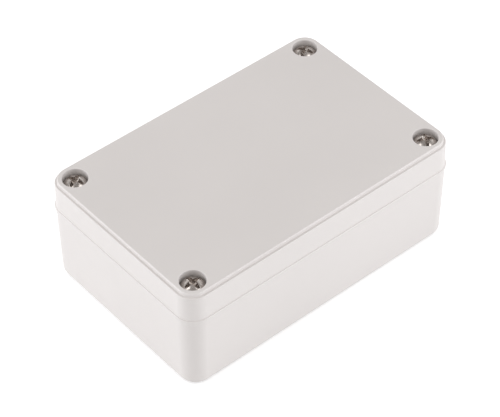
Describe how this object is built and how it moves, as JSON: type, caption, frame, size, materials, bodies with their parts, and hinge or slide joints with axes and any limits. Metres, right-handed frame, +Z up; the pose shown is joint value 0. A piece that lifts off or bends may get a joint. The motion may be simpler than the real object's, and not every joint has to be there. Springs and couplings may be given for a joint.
{
  "type": "sealed plastic project box",
  "caption": "Rectangular moulded plastic box for a circuit board, with a sealed lid held by recessed corner screws and wells for wall fixing screws.",
  "frame": {"origin": "middle of the flat underside of the base", "axes": "+X along the long sides, +Y across the box towards the back, +Z up through the lid"},
  "size_m": [0.098, 0.0644, 0.036],
  "materials": {
    "case_plastic": "light warm grey moulded plastic with a fine satin grain",
    "seal_rubber": "dark grey closed-cell rubber",
    "insert_brass": "turned and knurled brass",
    "screw_steel": "bright stainless steel"
  },
  "bodies": {
    "base": {"base": "case_plastic", "insert_front_left": "insert_brass", "insert_front_right": "insert_brass", "insert_back_left": "insert_brass", "insert_back_right": "insert_brass"},
    "lid": {"lid": "case_plastic", "gasket": "seal_rubber"},
    "screw_front_left": {"screw_front_left": "screw_steel"},
    "screw_front_right": {"screw_front_right": "screw_steel"},
    "screw_back_left": {"screw_back_left": "screw_steel"},
    "screw_back_right": {"screw_back_right": "screw_steel"}
  },
  "joints": [
    {"name": "lid_lift", "type": "slide", "parent": "base", "child": "lid", "axis": [0, 0, 1], "range_m": [0, 0.06]},
    {"name": "screw_front_left_out", "type": "slide", "parent": "lid", "child": "screw_front_left", "axis": [0, 0, 1], "range_m": [0, 0.02]},
    {"name": "screw_front_right_out", "type": "slide", "parent": "lid", "child": "screw_front_right", "axis": [0, 0, 1], "range_m": [0, 0.02]},
    {"name": "screw_back_left_out", "type": "slide", "parent": "lid", "child": "screw_back_left", "axis": [0, 0, 1], "range_m": [0, 0.02]},
    {"name": "screw_back_right_out", "type": "slide", "parent": "lid", "child": "screw_back_right", "axis": [0, 0, 1], "range_m": [0, 0.02]}
  ]
}
